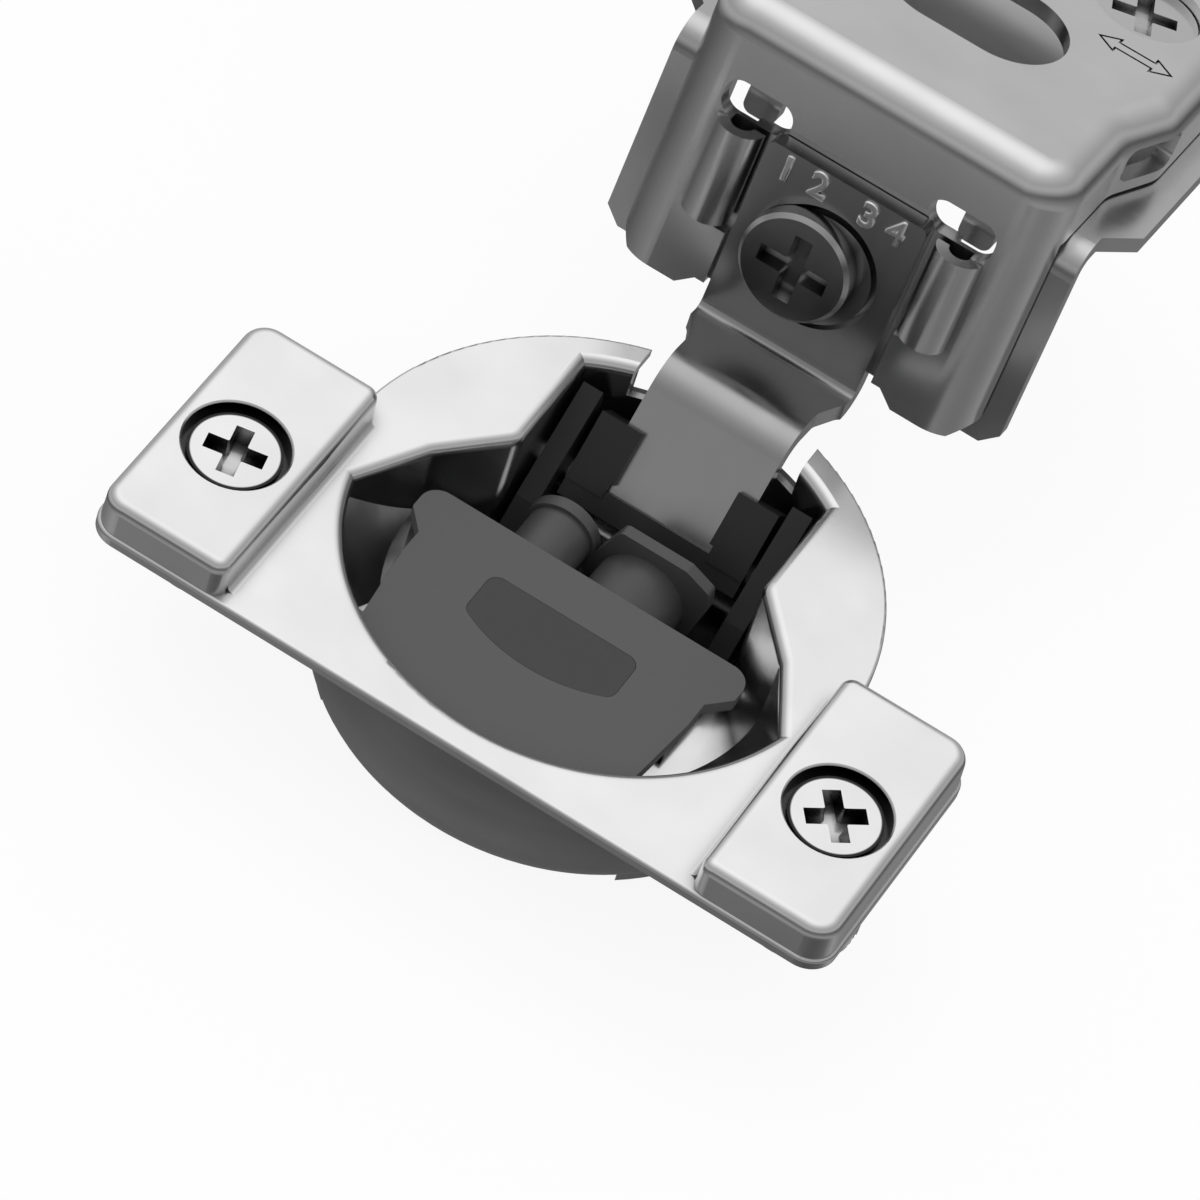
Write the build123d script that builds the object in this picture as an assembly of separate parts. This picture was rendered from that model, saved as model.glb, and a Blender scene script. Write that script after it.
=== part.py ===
from build123d import *
import math
import os

# A concealed cup hinge for a face-frame cabinet, shown with its door fully open.
# Origin: centre of the 35 mm cup, on the underside of its flange, which is the door's face.
# +X runs along the line of the two cup screws, +Y towards the arm, +Z out of the door.
# All lengths are millimetres.

# Running fits and seats
RUN_GAP = 0.03
SEAT_GAP = 0.05
SLIDE_GAP = 0.10

# Cup: barrel, flange and cavity
BARREL_R = 17.5
CUP_DEPTH = 12.0
CUP_WALL = 0.9
CUP_FLOOR = 1.0
BARREL_ROUND = 4.2
CAVITY_ROUND = 3.0
FLANGE_LIP = 1.35
FLANGE_T = 0.8
FLANGE_EDGE = 0.25
FRONT_EDGE_Y = -19.0
MOUTH_ROLL = 0.8
CHANNEL_HALF = 9.2
SHOULDER_INSET = 12.1
SADDLE_INSET = 4.3
SADDLE_Y = 0.8
SADDLE_END_Y = -4.4
SHOULDER_ROUND = 1.6
REAR_NOTCH_HALF = 6.4
REAR_NOTCH_INSET = 3.5
REAR_NOTCH_Z = -1.8

# Sloping ledges in the cup beside the cover
LEDGE_TOP_Z = -1.4
LEDGE_LOW_Z = -5.4
LEDGE_IN_R = 13.2
LEDGE_X = 11.2
LEDGE_FRONT_Y = -12.4

# Raised wings with their screws and dowels
SCREW_OUTSET = 5.0
SCREW_LINE_Y = -9.5
WING_TOP_Z = 3.5
WING_IN = 4.9
WING_OUT = 4.6
WING_Y_BACK = 0.7
WING_LEDGE = 0.15
WING_DRAFT = 2.5
WING_CORNER = 1.7
WING_CORNER_IN = 0.9
WING_EDGE = 0.8
WING_FOOT_ROUND = 0.5
WING_WALL = 0.65
WING_TOP_T = 1.1
SINK_R = 3.6
SINK_EDGE = 0.12
SINK_DEPTH = 0.6
SINK_FLOOR = 0.35
SCREW_HEAD_R = 3.15
SCREW_HEAD_H = 0.5
SCREW_CONE_H = 1.5
SCREW_SHANK_R = 1.75
SCREW_LENGTH = 10.5
DOWEL_R = 4.0
DOWEL_NECK_R = 3.4
DOWEL_CHAMFER = 0.8
DOWEL_SPLIT_TOP = -2.6
DOWEL_REACH = 8.0
DOWEL_SPLIT = 0.8
GROOVE_FIRST_Z = -2.6
GROOVE_STEP = 1.4
GROOVE_COUNT = 4
GROOVE_W = 0.5
GROOVE_D = 0.35
CROSS_LENGTH = 4.1
CROSS_WIDTH = 1.25
CROSS_DEPTH = 1.3
CROSS_DRAFT = 10.0
CROSS_TURN_LEFT = 12.0
CROSS_TURN_RIGHT = 38.0

# Pivot
PIVOT_INSET = 5.7
PIVOT_Z = -7.2
PIN_R = 1.25
PIN_INSET = 0.1

# Arm strap: fold of the tab, lean of the tab from the vertical, and its sheet
ARM_REACH = 11.7
FOLD_Z = 0.3
TAB_LEAN = 12.7
STRAP_T = 1.4
KNEE_DEPTH = 7.2
KNEE_ROUND = 3.5
FOLD_ROUND = 0.7
TAB_HALF = 6.0
TAB_TOP = 14.3
STRAP_HALF = 5.0
EYE_HALF = 3.95
FLARE_Y0 = 19.9
FLARE_Y1 = 22.5
FLARE_R = 1.2
TAB_CORNER = 0.5
EYE_GAP_DEG = 82.0
TAB_HOLE_R = 4.55
TAB_HOLE_U = 7.3

# Black shoe on the lower end of the strap
SHOE_HALF = 6.8
SHOE_TOP = 5.0
SHOE_LIP = 0.7
SHOE_LIP_IN = 0.25
SHOE_LIP_LOW = 1.1
SHOE_BACK = 0.4
SHOE_HUB_R = 2.7
SHOE_BAR_LOW = -1.2
SHOE_BAR_HIGH = 0.5
SHOE_BAR_T = 0.55

# Inner frame, cheeks, damper and closing spring
FRAME_FLOOR_T = 0.8
FRAME_HALF = 6.0
CHEEK_IN = 7.3
CHEEK_T = 1.5
CHEEK_TOP = 1.4
CHEEK_TOP_Z = -0.3
CHEEK_BEVEL = 0.9
CHEEK_HEEL = 1.8
CHEEK_HEEL_Z = -7.4
CHEEK_SOLE = 0.2
CHEEK_SOLE_Z = -9.2
CHEEK_ARCH = -4.3
CHEEK_TOE = -5.2
CHEEK_TOE_Z = -5.8
CHEEK_STEP = -8.4
CHEEK_FOOT_Y = 0.4
CHEEK_END_Y = -2.0
FRAME_WALL_INSET = 5.2
FRAME_WALL_T = 1.0
FRAME_WALL_TOP = -1.7
CRADLE_GAP = 1.2
CRADLE_T = 1.2
CRADLE_HALF = 2.0
CRADLE_DROP = 1.3
DAMPER_X = 2.0
DAMPER_Z = -4.9
DAMPER_R = 2.6
DAMPER_BACK_Y = -2.6
DAMPER_ROD_R = 0.9
DAMPER_ROD_IN = 3.2
DAMPER_BORE_SPARE = 0.6
DRUM_R = 3.2
DRUM_FRONT_Y = -3.2
DRUM_CAP_T = 2.2
ROD_SOCKET = 1.4
COLLAR_T = 0.9
CREST_HALF = 2.5
CREST_H = 4.3
CREST_SIDE_X = 4.4
CREST_SIDE_H = 3.4
CREST_FLANK_X = 4.6
CREST_FLANK_H = 1.9
CREST_FOOT_X = 3.6
CREST_FOOT_H = -2.6
CREST_LEFT_X = -4.4
CREST_LEFT_H = -0.5
CREST_ROUND = 0.5
SLIDER_END_Y = 5.0
SLIDER_STROKE = 3.7
SLEEVE_X = -4.4
SLEEVE_Z = -4.1
SLEEVE_R = 2.3
SLEEVE_BORE_R = 1.75
SLEEVE_FRONT_Y = -1.6
SLEEVE_LIP = 0.3
SLEEVE_CAP_T = 1.2
SPRING_R = 1.35
SPRING_WIRE_R = 0.22
SPRING_TURNS = 8
GUIDE_R = 0.9
GUIDE_END_Y = -1.4
GUIDE_HEAD_R = 1.6
GUIDE_HEAD_T = 0.6

# Damper cover
COVER_TOP_Z = -0.5
COVER_T = 1.0
COVER_GAP = 0.15
COVER_BACK_Y = -0.6
COVER_BACK_X = 12.2
COVER_SHOULDER_Y = -3.0
COVER_WAIST_X = 10.8
COVER_WAIST_Y = -4.6
COVER_WAIST_END_Y = -6.6
COVER_TAIL_X = 10.2
COVER_TAIL_Y = -12.5
COVER_ROUND = 1.4
COVER_POST_X = 7.8
COVER_POST_Y = -8.4
COVER_POST_R = 1.3
PANEL_T = 0.5
PANEL_X = 0.3
PANEL_HALF = 5.6
PANEL_BACK_Y = -4.3
PANEL_SIDE_Y = -8.0
PANEL_FRONT_Y = -9.5
PANEL_ROUND = 0.9

# Bracket housing. Names with B are depths behind the tab's front face,
# and names with U are heights up the tab from its fold.
HOUSING_T = 1.2
HOUSING_FRONT_B = 0.7
HOUSING_BACK_B = 30.2
HOUSING_HALF = 13.7
HOUSING_HALF_BACK = 15.4
FLARE_START_B = 11.0
FLARE_END_B = 15.5
FLARE_ROUND = 4.0
HOUSING_TOP_U = 22.0
HOUSING_CORNER = 3.2
HOUSING_ROUND = 2.4
SKIRT_GAP = 0.2
PAN_BACK_B = 3.3
LOBE_U = 0.1
LOBE_CHAMFER = 1.3
LOBE_STEP_X = 8.4
LOBE_STEP_U = 1.2
CHANNEL_W = 6.5
CREASE_U = 15.3
LOOP_LOW_U = 6.3
LOOP_HIGH_U = 13.7
LOOP_MID_X = 8.35
LOOP_MID_B = 0.9
LOOP_OUT_R = 1.75
LOOP_T = 0.9
WINDOW_LOW_U = 13.7
WINDOW_HIGH_U = 16.7
WINDOW_IN_X = 5.2
WINDOW_OUT_X = 10.3
WINDOW_ROUND = 1.2
SLIT_LOW_U = 5.5
SLIT_OUT_X = 9.2
SLOT_HALF_X = 6.6
SLOT_R = 4.3
SLOT_MID_B = 14.3
SIDE_GAP_LOW_B = 11.4
SIDE_GAP_HIGH_B = 17.0
SIDE_GAP_LOW_U = 17.3
SIDE_GAP_HIGH_U = 20.0
SIDE_GAP_ROUND = 0.8
ARROW_B = 18.6
ARROW_X0 = 7.2
ARROW_X1 = 13.0
ARROW_HEAD = 1.6
ARROW_HALF_W = 1.0
ARROW_SHAFT_W = 0.95
ARROW_LINE = 0.17
ARROW_DEPTH = 0.15

# Base sheet that wraps the cabinet's stile
BASE_T = 1.2
BASE_U = 15.0
BASE_FRONT_B = 3.6
BASE_NECK_B = 6.2
BASE_BACK_B = 29.2
EAR_OUT = 2.0
EAR_START_B = 6.8
EAR_FULL_B = 9.2
EAR_ROUND = 1.5
LEG_IN = 3.0
LEG_OUT = 1.6
LEG_LOW_U = -0.5
LEG_CHAMFER = 1.2
LEG_BEND_R = 2.2
TONGUE_W = 2.5
TONGUE_GAP = 1.2
TONGUE_LOW_U = 12.7
TONGUE_ROUND = 0.7
BASE_SLOT_HALF_X = 5.6
BASE_SLOT_R = 2.6

# Overlay cam screw on the tab
CAM_X = -0.92
CAM_HEAD_R = 4.0
CAM_HEAD_H = 1.4
CAM_HEAD_EDGE = 0.3
CAM_DISC_R = 4.1
CAM_OFFSET = 1.0
CAM_SHANK_R = 1.8
CAM_WASHER_R = 3.4
CAM_WASHER_T = 0.7
CAM_CROSS_LENGTH = 5.1
CAM_CROSS_WIDTH = 1.3
CAM_CROSS_DEPTH = 1.0

# Height cam screw in the housing's top
LIFT_INSET = 7.0
LIFT_B = 24.7
LIFT_HEAD_R = 3.8
LIFT_HEAD_DROP = 0.8
LIFT_RIM_R = 4.4
LIFT_RIM_T = 0.7
LIFT_RIM_EDGE = 0.4
LIFT_OFFSET = 2.0
LIFT_TURN = 50.0
LIFT_CROSS_LENGTH = 4.6
LIFT_CROSS_WIDTH = 1.2
LIFT_CROSS_DEPTH = 0.7
LIFT_CROSS_TURN = 20.0
LIFT_PIN_R = 1.2
LIFT_SLOT_PLAY = 0.3

# Values that follow from the ones above
CAVITY_R = BARREL_R - CUP_WALL
FLANGE_R = BARREL_R + FLANGE_LIP
PIVOT_Y = BARREL_R - PIVOT_INSET
FOLD_Y = PIVOT_Y + ARM_REACH
SHOULDER_Y = BARREL_R - SHOULDER_INSET
SADDLE_X = BARREL_R - SADDLE_INSET
REAR_NOTCH_Y = BARREL_R - REAR_NOTCH_INSET
FRAME_WALL_Y = FRAME_WALL_INSET - CAVITY_R
CAVITY_FLOOR_Z = -CUP_DEPTH + CUP_FLOOR
FRAME_FLOOR_Z = CAVITY_FLOOR_Z + FRAME_FLOOR_T
SCREW_SPACING = 2 * (BARREL_R + SCREW_OUTSET)
EYE_IN_R = PIN_R + RUN_GAP
EYE_OUT_R = EYE_IN_R + STRAP_T
WING_X_IN = SCREW_SPACING / 2 - WING_IN
WING_X_OUT = SCREW_SPACING / 2 + WING_OUT
WING_CENTRE_X = (WING_X_IN + WING_X_OUT) / 2
WING_SPREAD = WING_TOP_Z * math.tan(math.radians(WING_DRAFT)) + WING_LEDGE
WING_FRONT_Y = FRONT_EDGE_Y + WING_SPREAD
WING_CENTRE_Y = (WING_FRONT_Y + WING_Y_BACK) / 2
SCREW_TOP_Z = WING_TOP_Z - SINK_DEPTH
SCREW_EDGE_Z = SCREW_TOP_Z - SCREW_HEAD_H
SCREW_NECK_Z = SCREW_EDGE_Z - SCREW_CONE_H
COVER_R = CAVITY_R - COVER_GAP
CAP_Y = SLIDER_END_Y - COLLAR_T
CUP_END_Y = CAP_Y - DRUM_CAP_T
CHANNEL_B = STRAP_T + SLIDE_GAP
LEG_IN_X = HOUSING_HALF - LEG_IN
LEG_OUT_X = HOUSING_HALF + LEG_OUT
EAR_HALF = HOUSING_HALF_BACK + EAR_OUT
TONGUE_OUT_X = LEG_IN_X - TONGUE_GAP
TONGUE_IN_X = TONGUE_OUT_X - TONGUE_W
LIFT_X = HOUSING_HALF_BACK - LIFT_INSET
SKIRT_U = BASE_U + BASE_T + SKIRT_GAP
FAR = 60.0
LEAN = math.radians(TAB_LEAN)
DEPTH = Vector(math.cos(LEAN), -math.sin(LEAN))
RISE = Vector(math.sin(LEAN), math.cos(LEAN))
PIVOT = Vector(PIVOT_Y, PIVOT_Z)
FOLD = Vector(FOLD_Y, FOLD_Z)
KNEE = FOLD - DEPTH * KNEE_DEPTH
REACH = KNEE - PIVOT
SLOPE = math.atan2(REACH.Y, REACH.X) - math.asin(EYE_OUT_R / REACH.length)

# The bracket's frame at the fold of the tab: local Y is b, local Z is u
BRACKET_PLANE = Plane(origin=(0, FOLD_Y, FOLD_Z), x_dir=(1, 0, 0), z_dir=(0, RISE.X, RISE.Y))

# The shank's frame at the pivot: local Y runs along the strap, local Z out of its face
SHANK_PLANE = Plane(
    origin=(0, PIVOT_Y, PIVOT_Z),
    x_dir=(1, 0, 0),
    z_dir=(0, -math.sin(SLOPE), math.cos(SLOPE)),
)


def block(x0, x1, y0, y1, z0, z1):
    """A box between two corners."""
    return Pos((x0 + x1) / 2, (y0 + y1) / 2, (z0 + z1) / 2) * Box(x1 - x0, y1 - y0, z1 - z0)


def rod_z(radius, x, y, z0, z1):
    """A cylinder along Z."""
    return Pos(x, y, (z0 + z1) / 2) * Cylinder(radius, z1 - z0)


def rod_y(radius, x, z, y0, y1):
    """A cylinder along Y."""
    return Pos(x, (y0 + y1) / 2, z) * Rot(90, 0, 0) * Cylinder(radius, y1 - y0)


def rod_x(radius, y, z, x0, x1):
    """A cylinder along X."""
    return Pos((x0 + x1) / 2, y, z) * Rot(0, 90, 0) * Cylinder(radius, x1 - x0)


def polygon(*points):
    """A flat face through points in its own plane."""
    return make_face(Polyline(*points, close=True))


def prism_z(sketch, z0, z1):
    """A flat outline in XY drawn out along Z."""
    return extrude(Pos(0, 0, z0) * sketch, amount=z1 - z0)


def prism_x(sketch, x0, x1):
    """An outline in YZ drawn out along X."""
    return extrude(Plane.YZ.offset(x0) * sketch, amount=x1 - x0)


def prism_y(sketch, y0, y1):
    """An outline in XZ drawn out along Y."""
    return extrude(Plane.XZ.offset(-y1) * sketch, amount=y1 - y0)


def both_sides(shape):
    """A shape and its mirror image across the YZ plane."""
    return shape + mirror(shape, about=Plane.YZ)


def edges_at(shape, axis, value, tolerance=0.02):
    """The edges whose centre lies at one value along an axis."""
    return shape.edges().filter_by_position(axis, value - tolerance, value + tolerance)


def cross_recess(length, width, depth, turn):
    """The cutter for a cross recess, its mouth in the plane z = 0."""
    arms = Rectangle(length, width) + Rectangle(width, length)
    core = Rot(0, 0, 45) * Rectangle(width * 1.5, width * 1.5)
    return Rot(0, 0, turn) * extrude(arms + core, amount=-depth, taper=CROSS_DRAFT)


def cavity():
    """The cup's hollow: the barrel's inside, less the shoulders beside the arm."""
    side = polygon(
        (FAR, SADDLE_END_Y),
        (math.sqrt(CAVITY_R**2 - SADDLE_END_Y**2), SADDLE_END_Y),
        (SADDLE_X, SADDLE_Y),
        (CHANNEL_HALF, SHOULDER_Y),
        (CHANNEL_HALF, FAR),
        (FAR, FAR),
    )
    corners = [
        v
        for v in side.vertices()
        if abs(v.Y - SHOULDER_Y) < SEAT_GAP or abs(v.Y - SADDLE_Y) < SEAT_GAP
    ]
    shoulder = prism_z(fillet(corners, SHOULDER_ROUND), CAVITY_FLOOR_Z, WING_TOP_Z)
    hollow = rod_z(CAVITY_R, 0, 0, CAVITY_FLOOR_Z, WING_TOP_Z)
    hollow = fillet(edges_at(hollow, Axis.Z, CAVITY_FLOOR_Z), CAVITY_ROUND)
    return hollow - both_sides(shoulder)


def ledge():
    """The right ledge: a cone's slope at the foot of the cup's wall, down to the floor."""
    ring = rod_z(CAVITY_R, 0, 0, CAVITY_FLOOR_Z, LEDGE_TOP_Z)
    slope = Cone(LEDGE_IN_R, CAVITY_R, LEDGE_TOP_Z - LEDGE_LOW_Z)
    ring -= Pos(0, 0, (LEDGE_TOP_Z + LEDGE_LOW_Z) / 2) * slope
    ring -= rod_z(LEDGE_IN_R, 0, 0, CAVITY_FLOOR_Z, LEDGE_LOW_Z)
    return ring & block(LEDGE_X, FAR, LEDGE_FRONT_Y, SADDLE_Y, CAVITY_FLOOR_Z, LEDGE_TOP_Z)


def wing(inset, top_z):
    """The right wing's drafted form, its sides moved in and its top at one height."""
    lean = (WING_TOP_Z - top_z) * math.tan(math.radians(WING_DRAFT))
    margin = inset - lean
    width = WING_X_OUT - WING_X_IN - 2 * margin
    depth = WING_Y_BACK - WING_FRONT_Y - 2 * margin
    plan = Rectangle(width, depth)
    inner = [v for v in plan.vertices() if v.X < 0]
    plan = fillet(inner, WING_CORNER_IN - inset / 2)
    outer = [v for v in plan.vertices() if v.X > width / 2 - SEAT_GAP]
    plan = fillet(outer, WING_CORNER - inset / 2)
    return extrude(Pos(WING_CENTRE_X, WING_CENTRE_Y, top_z) * plan, amount=-top_z, taper=-WING_DRAFT)


def wing_foot():
    """The hollow round between the right wing's inner side and the flange."""
    x1 = WING_X_IN - (WING_TOP_Z - FLANGE_T) * math.tan(math.radians(WING_DRAFT))
    x0 = x1 - WING_FOOT_ROUND
    y0 = WING_FRONT_Y + WING_CORNER_IN
    y1 = WING_Y_BACK - WING_CORNER_IN
    top_z = FLANGE_T + WING_FOOT_ROUND
    foot = block(x0, WING_X_IN, y0, y1, FLANGE_T, top_z)
    return foot - rod_y(WING_FOOT_ROUND, x0, top_z, y0, y1)


def flange_outline():
    """The flange's plan: the ring and the strip that carries both wings."""
    half = WING_X_OUT + WING_SPREAD
    depth = WING_Y_BACK - WING_FRONT_Y + 2 * WING_SPREAD
    strip = Pos(0, WING_CENTRE_Y) * Rectangle(2 * half, depth)
    return Circle(FLANGE_R) + fillet(strip.vertices(), WING_CORNER + WING_SPREAD)


def rim_of_sink(body, x):
    """The round edge in a wing's top about one screw."""
    rims = edges_at(body, Axis.Z, WING_TOP_Z).filter_by(GeomType.CIRCLE)
    return [e for e in rims if math.hypot(e.arc_center.X - x, e.arc_center.Y - SCREW_LINE_Y) < SEAT_GAP]


def cup():
    """Die-cast cup: barrel, flange and both wings in one piece."""
    barrel = rod_z(BARREL_R, 0, 0, -CUP_DEPTH, 0)
    barrel = fillet(edges_at(barrel, Axis.Z, -CUP_DEPTH), BARREL_ROUND)
    flange = prism_z(flange_outline(), 0, FLANGE_T)
    flange = fillet(edges_at(flange, Axis.Z, FLANGE_T), FLANGE_EDGE)
    raised = wing(0, WING_TOP_Z)
    raised = fillet(edges_at(raised, Axis.Z, WING_TOP_Z), WING_EDGE)
    body = barrel + flange + both_sides(raised)
    body += both_sides(wing_foot())
    body -= both_sides(wing(WING_WALL, WING_TOP_Z - WING_TOP_T))

    body -= cavity()
    mouth = [
        e
        for e in edges_at(body, Axis.Z, FLANGE_T)
        if math.hypot(e.center().X, e.center().Y) < BARREL_R and abs(e.center().X) < CAVITY_R
    ]
    body = fillet(mouth, MOUTH_ROLL)
    body -= block(-REAR_NOTCH_HALF, REAR_NOTCH_HALF, REAR_NOTCH_Y, FAR, REAR_NOTCH_Z, FAR)

    hole_r = SCREW_HEAD_R + SEAT_GAP
    for x in (-SCREW_SPACING / 2, SCREW_SPACING / 2):
        sink_z = SCREW_TOP_Z - SINK_FLOOR
        body -= rod_z(SINK_R, x, SCREW_LINE_Y, sink_z, WING_TOP_Z)
        body = chamfer(rim_of_sink(body, x), SINK_EDGE)
        body -= rod_z(hole_r, x, SCREW_LINE_Y, 0, WING_TOP_Z)
    body += both_sides(ledge())
    return body - rod_x(PIN_R + RUN_GAP, PIVOT_Y, PIVOT_Z, -BARREL_R, BARREL_R)


def dowel_screw(side, turn):
    """Countersunk cross-head screw that spreads a dowel."""
    tip = SCREW_TOP_Z - SCREW_LENGTH
    cone = Cone(SCREW_SHANK_R, SCREW_HEAD_R, SCREW_CONE_H)
    screw = rod_z(SCREW_SHANK_R, 0, 0, tip, SCREW_NECK_Z)
    screw = chamfer(edges_at(screw, Axis.Z, tip), SCREW_SHANK_R / 2)
    screw += Pos(0, 0, (SCREW_EDGE_Z + SCREW_NECK_Z) / 2) * cone
    screw += rod_z(SCREW_HEAD_R, 0, 0, SCREW_EDGE_Z, SCREW_TOP_Z)
    recess = cross_recess(CROSS_LENGTH, CROSS_WIDTH, CROSS_DEPTH, turn)
    screw -= Pos(0, 0, SCREW_TOP_Z) * recess
    return Pos(side * SCREW_SPACING / 2, SCREW_LINE_Y) * screw


def dowel(side):
    """Split plastic dowel under a wing, with a seat for its screw's cone."""
    plug = rod_z(DOWEL_R, 0, 0, -DOWEL_REACH, -SEAT_GAP)
    plug = chamfer(edges_at(plug, Axis.Z, -DOWEL_REACH), DOWEL_CHAMFER)
    for i in range(GROOVE_COUNT):
        z = GROOVE_FIRST_Z - i * GROOVE_STEP
        groove = rod_z(DOWEL_R + GROOVE_D, 0, 0, z - GROOVE_W, z)
        plug -= groove - rod_z(DOWEL_R - GROOVE_D, 0, 0, z - GROOVE_W, z)
    plug += rod_z(DOWEL_NECK_R, 0, 0, -DOWEL_CHAMFER, WING_TOP_Z - WING_TOP_T - SEAT_GAP)
    cone = Cone(SCREW_SHANK_R + RUN_GAP, SCREW_HEAD_R + RUN_GAP, SCREW_CONE_H)
    plug -= Pos(0, 0, (SCREW_EDGE_Z + SCREW_NECK_Z) / 2) * cone
    plug -= rod_z(SCREW_SHANK_R + RUN_GAP, 0, 0, -DOWEL_REACH, SCREW_NECK_Z)
    half = DOWEL_SPLIT / 2
    plug -= block(-DOWEL_R, DOWEL_R, -half, half, -DOWEL_REACH, DOWEL_SPLIT_TOP)
    return Pos(side * SCREW_SPACING / 2, SCREW_LINE_Y) * plug


def pivot_pin():
    """Steel pin through the cup's shoulders, just inside the barrel's circle."""
    half = math.sqrt(BARREL_R**2 - (PIVOT_Y + PIN_R) ** 2) - PIN_INSET
    return rod_x(PIN_R, PIVOT_Y, PIVOT_Z, -half, half)


def strap_section():
    """The strap's section in YZ: rolled eye, knee, fold and tab."""
    along = Vector(math.cos(SLOPE), math.sin(SLOPE))
    front = Vector(-along.Y, along.X)
    start = PIVOT + front * EYE_OUT_R
    top = FOLD + RISE * TAB_TOP
    back_start = start - front * STRAP_T
    back_knee = KNEE - (front + RISE) * (STRAP_T / (1 + front.dot(RISE)))
    back_fold = FOLD + (DEPTH - RISE) * STRAP_T
    back_top = top + DEPTH * STRAP_T
    face_line = FilletPolyline(start, KNEE, FOLD, top, radius=[KNEE_ROUND, FOLD_ROUND])
    back_rounds = [FOLD_ROUND + STRAP_T, KNEE_ROUND - STRAP_T]
    back_line = FilletPolyline(back_top, back_fold, back_knee, back_start, radius=back_rounds)
    sheet = make_face([*face_line.edges(), Line(top, back_top), *back_line.edges(), Line(back_start, start)])
    gap = math.radians(EYE_GAP_DEG)
    low = along * math.sin(gap) + front * math.cos(gap)
    mouth = polygon(PIVOT, PIVOT + low * FAR, PIVOT + front * FAR)
    eye = Pos(PIVOT_Y, PIVOT_Z) * (Circle(EYE_OUT_R) - Circle(EYE_IN_R))
    return sheet + (eye - mouth)


def arm_strap():
    """Folded steel arm with its eye on the pin and its slotted tab in the housing."""
    strap = prism_x(strap_section(), -TAB_HALF, TAB_HALF)
    narrow = SHANK_PLANE.location * block(EYE_HALF, FAR, -FAR, SHOE_TOP, -FAR, FAR)
    flank = polygon(
        (FAR, FLARE_Y1),
        (TAB_HALF, FLARE_Y1),
        (STRAP_HALF, FLARE_Y0),
        (STRAP_HALF, -FAR),
        (FAR, -FAR),
    )
    bends = [v for v in flank.vertices() if v.X < FAR / 2 and v.Y > 0]
    flank = prism_z(fillet(bends, FLARE_R), -FAR, FAR)
    strap -= both_sides(narrow) + both_sides(flank)
    frame = block(-FAR, FAR, 0, FAR, TAB_HOLE_U, FAR)
    tab = block(-TAB_HALF, TAB_HALF, 0, FAR, 0, TAB_TOP)
    tab = fillet(edges_at(tab, Axis.Z, TAB_TOP).filter_by(Axis.Y), TAB_CORNER)
    cut = (frame - tab) + rod_y(TAB_HOLE_R, 0, TAB_HOLE_U, 0, FAR)
    return strap - BRACKET_PLANE.location * cut


def cam_shoe():
    """Black shoe that clips on the strap's narrow end and turns with it."""
    inner_x = EYE_HALF + SEAT_GAP
    lip = EYE_OUT_R + SEAT_GAP
    outer = lip + SHOE_LIP
    side = block(inner_x, SHOE_HALF, 0, SHOE_TOP, EYE_IN_R - SHOE_BACK, outer)
    side += rod_x(SHOE_HUB_R, 0, 0, inner_x, SHOE_HALF)
    side += block(EYE_HALF - SHOE_LIP_IN, SHOE_HALF, SHOE_LIP_LOW, SHOE_TOP, lip, outer)
    bar = block(-SHOE_HALF, SHOE_HALF, SHOE_BAR_LOW, SHOE_BAR_HIGH, lip, lip + SHOE_BAR_T)
    shoe = both_sides(side) + bar
    shoe -= rod_x(EYE_IN_R, 0, 0, -SHOE_HALF, SHOE_HALF)
    return SHANK_PLANE.location * shoe


def inner_frame():
    """Black moulding in the cup: floor, cheeks on the pin, front wall and cradle."""
    cheek_out = CHEEK_IN + CHEEK_T
    front = FRAME_WALL_Y - FRAME_WALL_T
    seat_z = CAVITY_FLOOR_Z + SEAT_GAP
    frame = block(-FRAME_HALF, FRAME_HALF, front, CHEEK_FOOT_Y, seat_z, FRAME_FLOOR_Z)
    frame += block(-cheek_out, cheek_out, CHEEK_END_Y, CHEEK_FOOT_Y, seat_z, FRAME_FLOOR_Z)
    frame += block(-FRAME_HALF, FRAME_HALF, front, FRAME_WALL_Y, seat_z, FRAME_WALL_TOP)
    cradle_top = DAMPER_Z - CRADLE_DROP
    cradle_x0 = DAMPER_X - CRADLE_HALF
    cradle_x1 = DAMPER_X + CRADLE_HALF
    cradle_y0 = FRAME_WALL_Y + CRADLE_GAP
    cradle_y1 = cradle_y0 + CRADLE_T
    frame += block(cradle_x0, cradle_x1, cradle_y0, cradle_y1, seat_z, cradle_top)
    cheek = polygon(
        (PIVOT_Y + CHEEK_TOP, CHEEK_TOP_Z),
        (PIVOT_Y + CHEEK_HEEL, CHEEK_TOP_Z - CHEEK_BEVEL),
        (PIVOT_Y + CHEEK_HEEL, CHEEK_HEEL_Z),
        (PIVOT_Y + CHEEK_SOLE, CHEEK_SOLE_Z),
        (PIVOT_Y + CHEEK_ARCH, CHEEK_SOLE_Z),
        (CHEEK_FOOT_Y, seat_z),
        (CHEEK_END_Y, seat_z),
        (CHEEK_END_Y, FRAME_FLOOR_Z),
        (PIVOT_Y + CHEEK_STEP, CHEEK_SOLE_Z),
        (PIVOT_Y + CHEEK_TOE, CHEEK_TOE_Z),
    )
    frame += both_sides(prism_x(cheek, CHEEK_IN, cheek_out))
    frame -= rod_y(DAMPER_R + SEAT_GAP, DAMPER_X, DAMPER_Z, cradle_y0, cradle_y1)
    frame -= rod_y(GUIDE_R + RUN_GAP, SLEEVE_X, SLEEVE_Z, front, FRAME_WALL_Y)
    return frame - rod_x(PIN_R + RUN_GAP, PIVOT_Y, PIVOT_Z, -BARREL_R, BARREL_R)


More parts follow.
